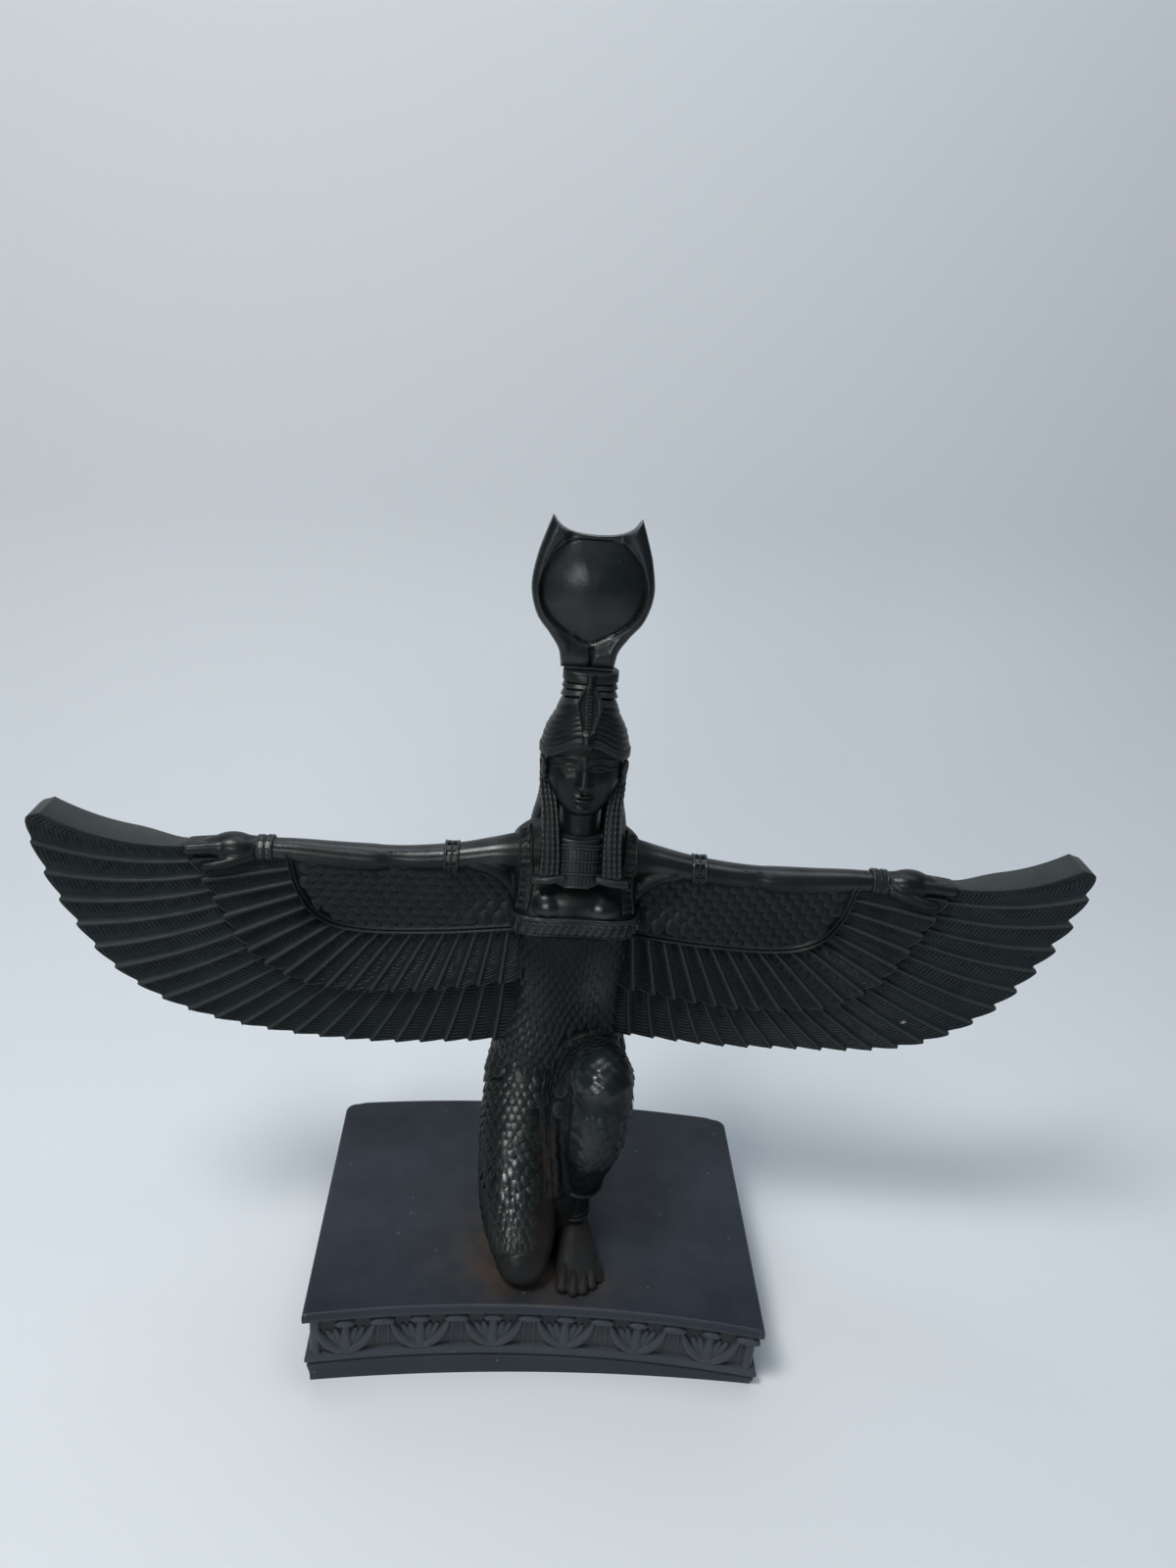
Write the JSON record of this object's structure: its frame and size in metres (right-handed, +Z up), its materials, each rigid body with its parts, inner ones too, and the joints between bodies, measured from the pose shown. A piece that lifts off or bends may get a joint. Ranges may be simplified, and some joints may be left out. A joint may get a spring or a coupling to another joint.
{
  "type": "winged isis statue",
  "caption": "Statue of a winged goddess kneeling on one knee, arms and feathered wings spread, with a horned disc crown, on a lotus-carved plinth.",
  "frame": {"origin": "centre of the plinth's flat underside, which the statue stands on", "axes": "+X to the figure's left, along the spread wings; +Y to its back; +Z up"},
  "size_m": [0.3879, 0.13, 0.3218],
  "materials": {
    "dark_stone": "near-black cast stone, waxed, polished on the raised parts",
    "plinth_stone": "near-black cast stone, smooth and satin"
  },
  "bodies": {
    "root": {"figure": "dark_stone", "horned_sun_disc": "dark_stone", "plinth": "plinth_stone"}
  },
  "joints": []
}
